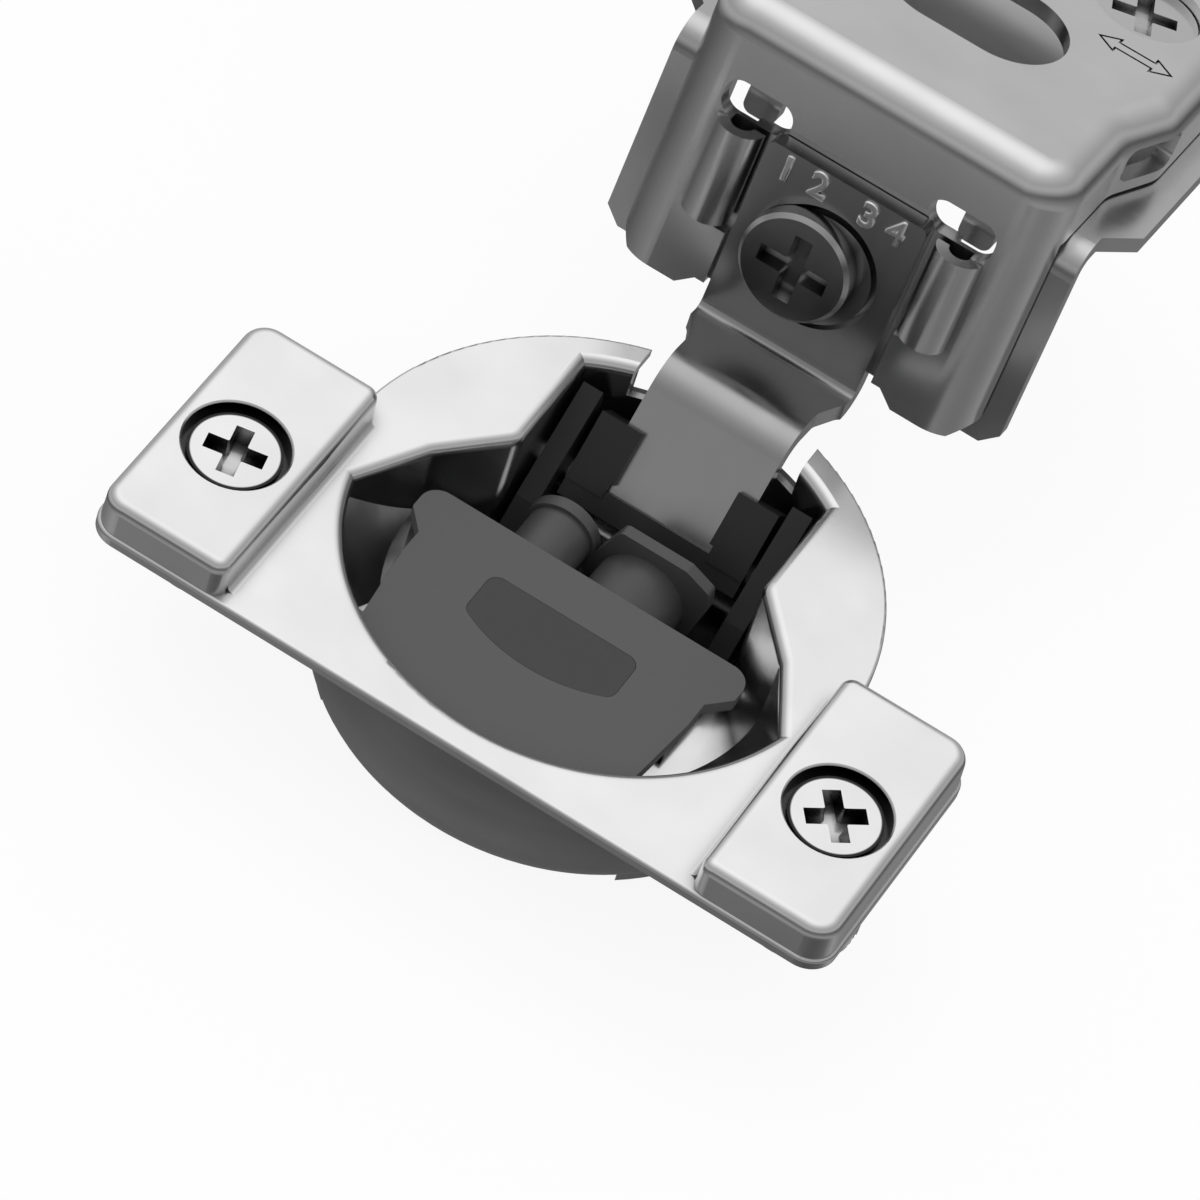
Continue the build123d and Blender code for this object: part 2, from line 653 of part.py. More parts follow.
def damper_body():
    """Damper cylinder that lies in the cradle under the cover."""
    body = rod_y(DAMPER_R, DAMPER_X, DAMPER_Z, FRAME_WALL_Y + SEAT_GAP, DAMPER_BACK_Y)
    bore_end = DAMPER_BACK_Y - DAMPER_ROD_IN - SLIDER_STROKE - DAMPER_BORE_SPARE
    return body - rod_y(DAMPER_ROD_R + RUN_GAP, DAMPER_X, DAMPER_Z, bore_end, DAMPER_BACK_Y)


def damper_rod():
    """Piston rod between the damper and the slider's socket."""
    return rod_y(
        DAMPER_ROD_R, DAMPER_X, DAMPER_Z, DAMPER_BACK_Y - DAMPER_ROD_IN, CUP_END_Y + ROD_SOCKET
    )


def collar_outline():
    """The slider's crested collar in XZ, with a lobe round the sleeve."""
    crest = polygon(
        (-CREST_HALF, CREST_H),
        (CREST_HALF, CREST_H),
        (CREST_SIDE_X, CREST_SIDE_H),
        (CREST_FLANK_X, CREST_FLANK_H),
        (CREST_FOOT_X, CREST_FOOT_H),
        (-CREST_FOOT_X, CREST_FOOT_H),
        (CREST_LEFT_X, CREST_LEFT_H),
    )
    crest = fillet(crest.vertices(), CREST_ROUND)
    lobe = Pos(SLEEVE_X, SLEEVE_Z) * Circle(SLEEVE_R + SLEEVE_LIP)
    return Pos(DAMPER_X, DAMPER_Z) * crest + lobe


def damper_slider():
    """Grey slider: a drum over the damper, a sleeve over the spring and one collar."""
    slider = rod_y(DRUM_R, DAMPER_X, DAMPER_Z, DRUM_FRONT_Y, CAP_Y)
    slider += rod_y(SLEEVE_R, SLEEVE_X, SLEEVE_Z, SLEEVE_FRONT_Y, CAP_Y)
    slider += prism_y(collar_outline(), CAP_Y, SLIDER_END_Y)
    slider -= rod_y(DAMPER_R + SLIDE_GAP, DAMPER_X, DAMPER_Z, DRUM_FRONT_Y, CUP_END_Y)
    socket_end = CUP_END_Y + ROD_SOCKET
    slider -= rod_y(DAMPER_ROD_R + RUN_GAP, DAMPER_X, DAMPER_Z, CUP_END_Y, socket_end)
    return slider - rod_y(
        SLEEVE_BORE_R, SLEEVE_X, SLEEVE_Z, SLEEVE_FRONT_Y, CAP_Y - SLEEVE_CAP_T
    )


def spring_guide():
    """Headed pin on the frame's front wall that keeps the closing spring straight."""
    front = FRAME_WALL_Y - FRAME_WALL_T
    guide = rod_y(GUIDE_R, SLEEVE_X, SLEEVE_Z, front, GUIDE_END_Y)
    head_y = FRAME_WALL_Y + SEAT_GAP
    return guide + rod_y(GUIDE_HEAD_R, SLEEVE_X, SLEEVE_Z, head_y, head_y + GUIDE_HEAD_T)


def closing_spring():
    """Compression spring between its guide's head and the slider's sleeve."""
    rest = SPRING_WIRE_R + SEAT_GAP
    low = FRAME_WALL_Y + SEAT_GAP + GUIDE_HEAD_T + rest
    high = CAP_Y - SLEEVE_CAP_T - rest
    coil = Helix(pitch=(high - low) / SPRING_TURNS, height=high - low, radius=SPRING_R)
    wire = sweep(Plane(coil @ 0, z_dir=coil % 0) * Circle(SPRING_WIRE_R), path=coil)
    return Pos(SLEEVE_X, low, SLEEVE_Z) * Rot(-90, 0, 0) * wire


def panel_outline(inset):
    """The plan of the dark panel: straight behind, round in front."""
    half = PANEL_HALF - inset
    back = PANEL_BACK_Y - inset
    front = PANEL_FRONT_Y + inset
    sides = Polyline((-half, PANEL_SIDE_Y), (-half, back), (half, back), (half, PANEL_SIDE_Y))
    bow = ThreePointArc((half, PANEL_SIDE_Y), (0, front), (-half, PANEL_SIDE_Y))
    face = make_face([*sides.edges(), bow])
    return Pos(PANEL_X, 0) * fillet(face.vertices(), PANEL_ROUND)


def cover_outline():
    """The plan of the grey cover: straight behind, waisted beside, round in front."""
    side = polygon(
        (FAR, COVER_BACK_Y),
        (COVER_BACK_X, COVER_BACK_Y),
        (COVER_BACK_X, COVER_SHOULDER_Y),
        (COVER_WAIST_X, COVER_WAIST_Y),
        (COVER_WAIST_X, COVER_WAIST_END_Y),
        (COVER_TAIL_X, COVER_TAIL_Y),
        (FAR, COVER_TAIL_Y),
    )
    behind = Pos(0, COVER_BACK_Y + FAR / 2) * Rectangle(2 * FAR, FAR)
    plan = Circle(COVER_R) - behind - side - mirror(side, about=Plane.YZ)
    corners = [v for v in plan.vertices() if abs(v.Y - COVER_BACK_Y) < SEAT_GAP]
    return fillet(corners, COVER_ROUND)


def damper_cover():
    """Grey cover plate over the damper, on two posts."""
    underside_z = COVER_TOP_Z - COVER_T
    cover = prism_z(cover_outline(), underside_z, COVER_TOP_Z)
    for x in (-COVER_POST_X, COVER_POST_X):
        cover += rod_z(COVER_POST_R, x, COVER_POST_Y, CAVITY_FLOOR_Z + SEAT_GAP, underside_z)
    return cover - prism_z(panel_outline(0), COVER_TOP_Z - PANEL_T, COVER_TOP_Z)


def cover_panel():
    """Darker panel in the cover's recess."""
    return prism_z(panel_outline(RUN_GAP), COVER_TOP_Z - PANEL_T, COVER_TOP_Z)


def housing_lump(inset, back):
    """The housing as a solid lump in its own frame, its faces moved in and its back at one depth."""
    turn = math.atan2(HOUSING_HALF_BACK - HOUSING_HALF, FLARE_END_B - FLARE_START_B)
    shift = inset * math.tan(turn / 2)
    right = [
        (HOUSING_HALF - inset, HOUSING_FRONT_B + inset),
        (HOUSING_HALF - inset, FLARE_START_B + shift),
        (HOUSING_HALF_BACK - inset, FLARE_END_B + shift),
        (HOUSING_HALF_BACK - inset, back),
    ]
    left = [(-x, b) for x, b in reversed(right)]
    plan = polygon(*right, *left)
    rounds = (HOUSING_CORNER - inset, FLARE_ROUND + inset, FLARE_ROUND - inset)
    for (x, b), radius in zip(right[:3], rounds):
        corners = [v for v in plan.vertices() if math.hypot(abs(v.X) - x, v.Y - b) < SEAT_GAP]
        plan = fillet(corners, radius)
    top = HOUSING_TOP_U - inset
    lump = prism_z(plan, -HOUSING_TOP_U, top)
    rim = [e for e in edges_at(lump, Axis.Z, top) if e.center().Y < back - SEAT_GAP]
    return fillet(rim, HOUSING_ROUND - inset)


def slide_loop():
    """The right loop beside the tab: half a tube pressed out of the housing's front."""
    tube = rod_z(LOOP_OUT_R, LOOP_MID_X, LOOP_MID_B, LOOP_LOW_U, LOOP_HIGH_U)
    tube -= rod_z(LOOP_OUT_R - LOOP_T, LOOP_MID_X, LOOP_MID_B, LOOP_LOW_U, LOOP_HIGH_U)
    rear = LOOP_MID_X + LOOP_OUT_R
    return tube - block(-FAR, rear, LOOP_MID_B, FAR, LOOP_LOW_U, LOOP_HIGH_U)


def rounded_slot(half_length, radius, x, b, u0, u1):
    """A slot cutter along X, in the bracket's frame."""
    return prism_z(Pos(x, b) * SlotOverall(2 * half_length, 2 * radius), u0, u1)


def arrow_outline(inset):
    """A double arrow's plan, its sides moved in."""
    half = (ARROW_X1 - ARROW_X0) / 2
    neck = half - ARROW_HEAD + inset
    slope = ARROW_HEAD / ARROW_HALF_W
    tip = half - inset * math.hypot(1, slope)
    barb = (tip - neck) / slope
    shaft = ARROW_SHAFT_W / 2 - inset
    right = [(neck, -shaft), (neck, -barb), (tip, 0), (neck, barb), (neck, shaft)]
    left = [(-x, y) for x, y in reversed(right)]
    return Pos((ARROW_X0 + ARROW_X1) / 2, ARROW_B) * polygon(*right, *left)


def arrow():
    """The outlined double arrow engraved beside the height screw, as a cutter."""
    marks = arrow_outline(0) - arrow_outline(ARROW_LINE)
    return prism_z(marks, HOUSING_TOP_U - ARROW_DEPTH, FAR)


def bracket_housing():
    """Plated housing over the tab and the base, with loops, windows and a top slot."""
    shell = housing_lump(0, HOUSING_BACK_B) - housing_lump(HOUSING_T, FAR)
    shell -= block(-FAR, FAR, PAN_BACK_B, FAR, -FAR, SKIRT_U)
    wrap = CHANNEL_W + HOUSING_T
    channel_back = CHANNEL_B + HOUSING_T
    shell += block(-wrap, wrap, CHANNEL_B, channel_back, -HOUSING_TOP_U, CREASE_U + HOUSING_T)
    shell -= block(-CHANNEL_W, CHANNEL_W, -FAR, CHANNEL_B, -FAR, CREASE_U)
    lobe = polygon(
        (0, LOBE_STEP_U),
        (LOBE_STEP_X - LOBE_STEP_U, LOBE_STEP_U),
        (LOBE_STEP_X, LOBE_U),
        (HOUSING_HALF - LOBE_CHAMFER, LOBE_U),
        (HOUSING_HALF, LOBE_U + LOBE_CHAMFER),
        (FAR, LOBE_U + LOBE_CHAMFER),
        (FAR, -FAR),
        (0, -FAR),
    )
    shell -= both_sides(prism_y(lobe, -FAR, PAN_BACK_B))

    slit = block(CHANNEL_W, SLIT_OUT_X, -FAR, CHANNEL_B, SLIT_LOW_U, LOOP_HIGH_U)
    window = block(WINDOW_IN_X, WINDOW_OUT_X, -FAR, PAN_BACK_B, WINDOW_LOW_U, WINDOW_HIGH_U)
    window = fillet(window.edges().filter_by(Axis.Y), WINDOW_ROUND)
    side_gap = block(CHANNEL_W, FAR, SIDE_GAP_LOW_B, SIDE_GAP_HIGH_B, SIDE_GAP_LOW_U, SIDE_GAP_HIGH_U)
    side_gap = fillet(side_gap.edges().filter_by(Axis.X), SIDE_GAP_ROUND)
    shell -= both_sides(slit)
    shell += both_sides(slide_loop())
    shell -= both_sides(window + side_gap)

    shell -= rod_y(CAM_SHANK_R + SLIDE_GAP, CAM_X, TAB_HOLE_U, 0, channel_back)
    shell -= rounded_slot(SLOT_HALF_X, SLOT_R, 0, SLOT_MID_B, SKIRT_U, FAR)
    shell -= rod_z(LIFT_HEAD_R + SLIDE_GAP, LIFT_X, LIFT_B, SKIRT_U, FAR)
    return BRACKET_PLANE.location * (shell - arrow())


def bracket_base():
    """Base sheet with two legs that wraps the cabinet's stile."""
    top = BASE_U + BASE_T
    leg_back = BASE_FRONT_B + BASE_T
    section = polygon(
        (BASE_FRONT_B, LEG_LOW_U),
        (BASE_FRONT_B, top),
        (BASE_BACK_B, top),
        (BASE_BACK_B, BASE_U),
        (leg_back, BASE_U),
        (leg_back, LEG_LOW_U),
    )
    for (b, u), radius in (((BASE_FRONT_B, top), LEG_BEND_R), ((leg_back, BASE_U), LEG_BEND_R - BASE_T)):
        bend = [v for v in section.vertices() if math.hypot(v.X - b, v.Y - u) < SEAT_GAP]
        section = fillet(bend, radius)
    sheet = prism_x(section, -EAR_HALF, EAR_HALF)

    beside = polygon(
        (LEG_OUT_X, -FAR),
        (LEG_OUT_X, EAR_START_B),
        (EAR_HALF, EAR_FULL_B),
        (EAR_HALF, BASE_BACK_B - EAR_ROUND),
        (EAR_HALF - EAR_ROUND, BASE_BACK_B),
        (FAR, BASE_BACK_B),
        (FAR, -FAR),
    )
    sheet -= both_sides(prism_z(beside, -FAR, FAR))
    sheet -= block(-TONGUE_IN_X, TONGUE_IN_X, -FAR, BASE_NECK_B, -FAR, FAR)
    sheet -= both_sides(block(TONGUE_OUT_X, LEG_IN_X, -FAR, BASE_NECK_B, -FAR, FAR))
    low = block(TONGUE_IN_X, TONGUE_OUT_X, -FAR, leg_back, -FAR, TONGUE_LOW_U)
    sheet -= both_sides(low)
    tips = edges_at(sheet, Axis.Z, TONGUE_LOW_U).filter_by(Axis.Y)
    sheet = fillet([e for e in tips if abs(e.center().X) < LEG_IN_X - SEAT_GAP], TONGUE_ROUND)
    toe = polygon(
        (LEG_OUT_X - LEG_CHAMFER, LEG_LOW_U),
        (LEG_OUT_X, LEG_LOW_U + LEG_CHAMFER),
        (LEG_OUT_X, LEG_LOW_U),
    )
    sheet -= both_sides(prism_y(toe, BASE_FRONT_B, leg_back))
    sheet -= rounded_slot(BASE_SLOT_HALF_X, BASE_SLOT_R, 0, SLOT_MID_B, BASE_U, top)
    slot_half = LIFT_PIN_R + LIFT_SLOT_PLAY
    slot_near = LIFT_B - LIFT_OFFSET - slot_half
    slot_far = LIFT_B - LIFT_OFFSET * math.cos(math.radians(LIFT_TURN)) + slot_half
    lift_slot = block(LIFT_X - slot_half, LIFT_X + slot_half, slot_near, slot_far, BASE_U, top)
    return BRACKET_PLANE.location * (sheet - lift_slot)


def overlay_cam_screw():
    """Overlay screw: cross head on the tab, eccentric disc in its hole, shank behind."""
    head_back = -SLIDE_GAP
    head_front = head_back - CAM_HEAD_H
    screw = rod_y(CAM_HEAD_R, CAM_X, TAB_HOLE_U, head_front, head_back)
    screw = chamfer(edges_at(screw, Axis.Y, head_front), CAM_HEAD_EDGE)
    recess = cross_recess(CAM_CROSS_LENGTH, CAM_CROSS_WIDTH, CAM_CROSS_DEPTH, 0)
    screw -= Pos(CAM_X, head_front, TAB_HOLE_U) * Rot(90, 0, 0) * recess
    disc_back = CHANNEL_B - SEAT_GAP
    screw += rod_y(CAM_DISC_R, CAM_X + CAM_OFFSET, TAB_HOLE_U, head_back, disc_back)
    shank_back = CHANNEL_B + HOUSING_T + SEAT_GAP + CAM_WASHER_T
    screw += rod_y(CAM_SHANK_R, CAM_X, TAB_HOLE_U, disc_back, shank_back)
    return BRACKET_PLANE.location * screw


def overlay_cam_washer():
    """Washer riveted on the overlay screw's shank behind the housing."""
    front = CHANNEL_B + HOUSING_T + SEAT_GAP
    washer = rod_y(CAM_WASHER_R, CAM_X, TAB_HOLE_U, front, front + CAM_WASHER_T)
    washer -= rod_y(CAM_SHANK_R + RUN_GAP, CAM_X, TAB_HOLE_U, front, front + CAM_WASHER_T)
    return BRACKET_PLANE.location * washer


def height_cam_screw():
    """Height screw: cross head in the housing's top, rim under it, eccentric pin in the base."""
    rim_top = HOUSING_TOP_U - HOUSING_T - SEAT_GAP
    rim_low = rim_top - LIFT_RIM_T
    head_top = HOUSING_TOP_U - LIFT_HEAD_DROP
    screw = rod_z(LIFT_RIM_R, LIFT_X, LIFT_B, rim_low, rim_top)
    screw = chamfer(edges_at(screw, Axis.Z, rim_top), LIFT_RIM_EDGE)
    screw += rod_z(LIFT_HEAD_R, LIFT_X, LIFT_B, rim_top, head_top)
    recess = cross_recess(LIFT_CROSS_LENGTH, LIFT_CROSS_WIDTH, LIFT_CROSS_DEPTH, LIFT_CROSS_TURN)
    screw -= Pos(LIFT_X, LIFT_B, head_top) * recess
    screw += rod_z(LIFT_PIN_R, LIFT_X, LIFT_B - LIFT_OFFSET, BASE_U + SLIDE_GAP, rim_low)
    return BRACKET_PLANE.location * screw


PIECES = {
    "cup": cup(),
    "dowel_left": dowel(-1),
    "dowel_right": dowel(1),
    "dowel_screw_left": dowel_screw(-1, CROSS_TURN_LEFT),
    "dowel_screw_right": dowel_screw(1, CROSS_TURN_RIGHT),
    "pivot_pin": pivot_pin(),
    "inner_frame": inner_frame(),
    "damper_body": damper_body(),
    "damper_rod": damper_rod(),
    "damper_slider": damper_slider(),
    "spring_guide": spring_guide(),
    "closing_spring": closing_spring(),
    "damper_cover": damper_cover(),
    "cover_panel": cover_panel(),
    "arm_strap": arm_strap(),
    "cam_shoe": cam_shoe(),
    "bracket_housing": bracket_housing(),
    "bracket_base": bracket_base(),
    "overlay_cam_screw": overlay_cam_screw(),
    "overlay_cam_washer": overlay_cam_washer(),
    "height_cam_screw": height_cam_screw(),
}

os.makedirs("parts", exist_ok=True)
for name, piece in PIECES.items():
    export_step(piece, f"parts/{name}.step")
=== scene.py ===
"""Looks of a concealed cup hinge: finishes, stamped numerals, closing spring, light and camera.

Lengths in this file are metres in the part's own frame, unless a name says millimetres.
"""

import logging
import math
from dataclasses import dataclass
from enum import Enum

import bmesh
import bpy
from mathutils import Euler, Matrix, Vector


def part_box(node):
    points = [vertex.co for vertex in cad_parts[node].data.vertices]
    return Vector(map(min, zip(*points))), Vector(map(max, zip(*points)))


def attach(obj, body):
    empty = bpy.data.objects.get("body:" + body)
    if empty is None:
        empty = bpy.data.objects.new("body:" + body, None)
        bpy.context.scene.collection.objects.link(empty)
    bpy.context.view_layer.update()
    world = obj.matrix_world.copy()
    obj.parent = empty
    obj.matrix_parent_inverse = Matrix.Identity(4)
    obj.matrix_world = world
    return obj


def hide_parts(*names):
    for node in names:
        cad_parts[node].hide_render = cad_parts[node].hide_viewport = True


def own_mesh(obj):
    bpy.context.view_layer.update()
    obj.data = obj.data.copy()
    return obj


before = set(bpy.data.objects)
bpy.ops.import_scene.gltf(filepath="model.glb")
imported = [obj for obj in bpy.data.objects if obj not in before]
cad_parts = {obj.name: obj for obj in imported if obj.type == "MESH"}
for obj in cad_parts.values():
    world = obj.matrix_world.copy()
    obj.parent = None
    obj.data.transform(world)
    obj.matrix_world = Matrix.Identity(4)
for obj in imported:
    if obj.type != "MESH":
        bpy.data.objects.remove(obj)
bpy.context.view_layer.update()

MM = 0.001
FINE_DETAIL = 3.0
SOFT_DETAIL = 2.0
SMOOTH_DETAIL = 0.0
CLOUD_START = 0.3
CLOUD_END = 0.7
OPENNESS_SAMPLES = 8
LOG = logging.getLogger("cup_hinge")


class Body(Enum):
    """The moving bodies that a new piece rides on."""

    CUP = "cup"
    ARM = "arm"


class Wire:
    """A shader socket that takes part in Python arithmetic."""

    def __init__(self, bench: "Bench", socket: bpy.types.NodeSocket | None) -> None:
        """Wraps one output socket.

        Args:
            bench: The bench that owns the socket's node.
            socket: The output socket, or None for a node that has none.
        """
        self.bench = bench
        self.socket = socket

    def _math(self, operation: str, *values: "Wire | float") -> "Wire":
        """Adds one Math node.

        Args:
            operation: The Math node's operation.
            values: Its inputs in order.

        Returns:
            The node's value.
        """
        return self.bench.node("ShaderNodeMath", {"operation": operation}, dict(enumerate(values)))

    def __add__(self, other: "Wire | float") -> "Wire":
        """Returns self + other."""
        return self._math("ADD", self, other)

    __radd__ = __add__

    def __sub__(self, other: "Wire | float") -> "Wire":
        """Returns self - other."""
        return self._math("SUBTRACT", self, other)

    def __rsub__(self, other: "Wire | float") -> "Wire":
        """Returns other - self."""
        return self._math("SUBTRACT", other, self)

    def __mul__(self, other: "Wire | float") -> "Wire":
        """Returns self * other."""
        return self._math("MULTIPLY", self, other)

    __rmul__ = __mul__

    def __truediv__(self, other: "Wire | float") -> "Wire":
        """Returns self / other."""
        return self._math("DIVIDE", self, other)

    def __rtruediv__(self, other: "Wire | float") -> "Wire":
        """Returns other / self."""
        return self._math("DIVIDE", other, self)

    def __pow__(self, other: "Wire | float") -> "Wire":
        """Returns self to a power."""
        return self._math("POWER", self, other)

    def __rpow__(self, other: "Wire | float") -> "Wire":
        """Returns other to the power of self."""
        return self._math("POWER", other, self)

    def __abs__(self) -> "Wire":
        """Returns self without its sign."""
        return self._math("ABSOLUTE", self)

    def at_least(self, low: float) -> "Wire":
        """Returns the larger of self and a number."""
        return self._math("MAXIMUM", self, low)

    def at_most(self, high: float) -> "Wire":
        """Returns the smaller of self and a number."""
        return self._math("MINIMUM", self, high)

    def step(self, low: float, high: float) -> "Wire":
        """Returns 0 below low, 1 above high, and a straight rise between."""
        return ((self - low) / (high - low)).at_least(0.0).at_most(1.0)

    def sibling(self, name: str) -> "Wire":
        """Returns another output of the same node."""
        return Wire(self.bench, self.socket.node.outputs[name])


class Bench:
    """Builds the nodes of one shader tree."""

    def __init__(self, tree: bpy.types.NodeTree) -> None:
        """Empties a node tree and keeps it.

        Args:
            tree: The tree of a material or of the world.
        """
        self.tree = tree
        tree.nodes.clear()

    def node(self, kind: str, settings: dict | None = None, inputs: dict | None = None,
             output: int | str = 0) -> Wire:
        """Adds a node of any type.

        Args:
            kind: The node's type name.
            settings: Properties, set before the inputs. "stops" fills a colour ramp.
            inputs: Socket name or index to a number, a colour or a Wire.
            output: Name or index of the socket to return.

        Returns:
            The chosen output, or the node's first one.
        """
        made = self.tree.nodes.new(kind)
        for key, value in (settings or {}).items():
            if key == "stops":
                self._fill_ramp(made.color_ramp, value)
            else:
                setattr(made, key, value)
        for key, value in (inputs or {}).items():
            if isinstance(value, Wire):
                self.tree.links.new(value.socket, made.inputs[key])
            else:
                made.inputs[key].default_value = value
        return Wire(self, made.outputs[output] if made.outputs else None)

    @staticmethod
    def _fill_ramp(ramp: bpy.types.ColorRamp, stops: tuple[tuple[float, float], ...]) -> None:
        """Fills a colour ramp with greys.

        Args:
            ramp: The ramp of a Color Ramp node.
            stops: Pairs of place and brightness.
        """
        while len(ramp.elements) < len(stops):
            ramp.elements.new(0.5)
        for element, (place, brightness) in zip(ramp.elements, stops):
            element.position = place
            element.color = grey(brightness)

    def place(self) -> tuple[Wire, Wire, Wire]:
        """Splits a point's place in the part's frame.

        Returns:
            Its x, y and z, in metres.
        """
        where = self.node("ShaderNodeTexCoord", output="Object")
        x = self.node("ShaderNodeSeparateXYZ", inputs={"Vector": where}, output="X")
        return x, x.sibling("Y"), x.sibling("Z")

    def from_screw(self, screw_x: float, screw_y: float) -> Wire:
        """Measures how far a point lies from the nearer cup screw.

        Args:
            screw_x: The screws' distance from the middle, in metres.
            screw_y: The screws' line along y, in metres.

        Returns:
            The distance from the screw's axis, in metres.
        """
        x, y, _ = self.place()
        aside = abs(x) - screw_x
        along = y - screw_y
        return (aside * aside + along * along) ** 0.5

    def noise(self, scale: tuple[float, float, float], detail: float = FINE_DETAIL) -> Wire:
        """Adds noise on the part's own frame.

        Args:
            scale: Repeats per metre along x, y and z.
            detail: The noise's octaves.

        Returns:
            The noise, from 0 to 1 about 0.5.
        """
        where = self.node("ShaderNodeTexCoord", output="Object")
        spread = self.node("ShaderNodeMapping", inputs={"Vector": where, "Scale": scale})
        return self.node("ShaderNodeTexNoise", inputs={"Vector": spread, "Scale": 1.0, "Detail": detail})

    def openness(self, reach: float) -> Wire:
        """Measures how open the surface lies.

        Args:
            reach: How far a neighbouring face still counts, in metres.

        Returns:
            1 on an open face, falling towards 0 in a corner or a recess.
        """
        return self.node("ShaderNodeAmbientOcclusion", {"samples": OPENNESS_SAMPLES, "only_local": True},
                         {"Distance": reach}, output="AO")

    def blend(self, share: Wire, low: "tuple[float, ...] | Wire", high: "tuple[float, ...] | Wire") -> Wire:
        """Mixes two colours.

        Args:
            share: 0 for the first colour and 1 for the second.
            low: The first colour.
            high: The second colour.

        Returns:
            The mixed colour.
        """
        # The node has sockets for every data type: inputs 6 and 7 and output 2 are the colours.
        return self.node("ShaderNodeMix", {"data_type": "RGBA"}, {0: share, 6: low, 7: high}, output=2)

    def cloudy(self, tone: float, mottle: float, scale: float) -> Wire:
        """Adds a grey that is uneven by a few percent.

        Args:
            tone: The grey's brightness.
            mottle: How far the brightness strays, as a share of the tone.
            scale: Clouds per metre.

        Returns:
            The uneven grey.
        """
        cloud = self.noise(evenly(scale), SOFT_DETAIL).step(CLOUD_START, CLOUD_END)
        return self.blend(cloud, grey(tone * (1.0 - mottle)), grey(tone * (1.0 + mottle)))

    def bump(self, strength: float, depth: float, height: Wire, over: Wire | None = None) -> Wire:
        """Adds relief.

        Args:
            strength: How strongly the relief shows, from 0 to 1.
            depth: The relief's depth, in metres.
            height: The relief's pattern.
            over: A coarser relief that this one lies on.

        Returns:
            The surface's normal.
        """
        inputs = {"Strength": strength, "Distance": depth, "Height": height}
        if over is not None:
            inputs["Normal"] = over
        return self.node("ShaderNodeBump", inputs=inputs)


def grey(brightness: float) -> tuple[float, float, float, float]:
    """Returns a grey of one brightness."""
    return (brightness, brightness, brightness, 1.0)


def evenly(scale: float) -> tuple[float, float, float]:
    """Returns one scale for all three directions."""
    return (scale, scale, scale)


@dataclass(frozen=True)
class Finish:
    """A surface of its own, with a name and a brightness."""

    name: str
    tone: float

    def shader(self, bench: Bench) -> Wire:
        """Adds the surface.

        Args:
            bench: The material's bench.

        Returns:
            The surface's shader.
        """
        raise NotImplementedError

    def material(self) -> bpy.types.Material:
        """Builds the finish.

        Returns:
            The new material.
        """
        made = bpy.data.materials.new(self.name)
        made.use_nodes = True
        bench = Bench(made.node_tree)
        bench.node("ShaderNodeOutputMaterial", inputs={"Surface": self.shader(bench)})
        return made


@dataclass(frozen=True)
class Plating(Finish):
    """Bright or dark plated steel: a slow wave, a faint ripple and painted shade in corners."""

    roughness: float = 0.14
    roughness_swing: float = 0.10
    mottle: float = 0.04
    cloud_scale: float = 160.0
    ripple: float = 0.05
    ripple_depth: float = 0.02 * MM
    grain: tuple[float, float, float] = (420.0, 420.0, 420.0)
    wave: float = 0.06 * MM
    wave_scale: float = 90.0
    corner_tone: float = 0.08
    corner_reach: float = 1.2 * MM
    corner_dull: float = 0.18
    corner_clear: float = 0.92

    def tint(self, bench: Bench) -> Wire:
        """Adds the metal's colour, darkened in corners by painted shade.

        Args:
            bench: The material's bench.

        Returns:
            The colour.
        """
        plated = bench.cloudy(self.tone, self.mottle, self.cloud_scale)
        # Painted shade: where nearby faces of the same piece close in, the colour darkens towards a
        # near-black grey.
        share = bench.openness(self.corner_reach).step(self.corner_dull, self.corner_clear)
        return bench.blend(share, grey(self.tone * self.corner_tone), plated)

    def shader(self, bench: Bench) -> Wire:
        """Adds the plated surface.

        Args:
            bench: The material's bench.

        Returns:
            The surface's shader.
        """
        streaks = bench.noise(self.grain)
        swell = bench.noise(evenly(self.wave_scale), SMOOTH_DETAIL)
        slow = bench.bump(1.0, self.wave, swell)
        return bench.node("ShaderNodeBsdfPrincipled", inputs={
            "Base Color": self.tint(bench), "Metallic": 1.0,
            "Roughness": (streaks - 0.5) * self.roughness_swing + self.roughness,
            "Normal": bench.bump(self.ripple, self.ripple_depth, streaks, slow)})


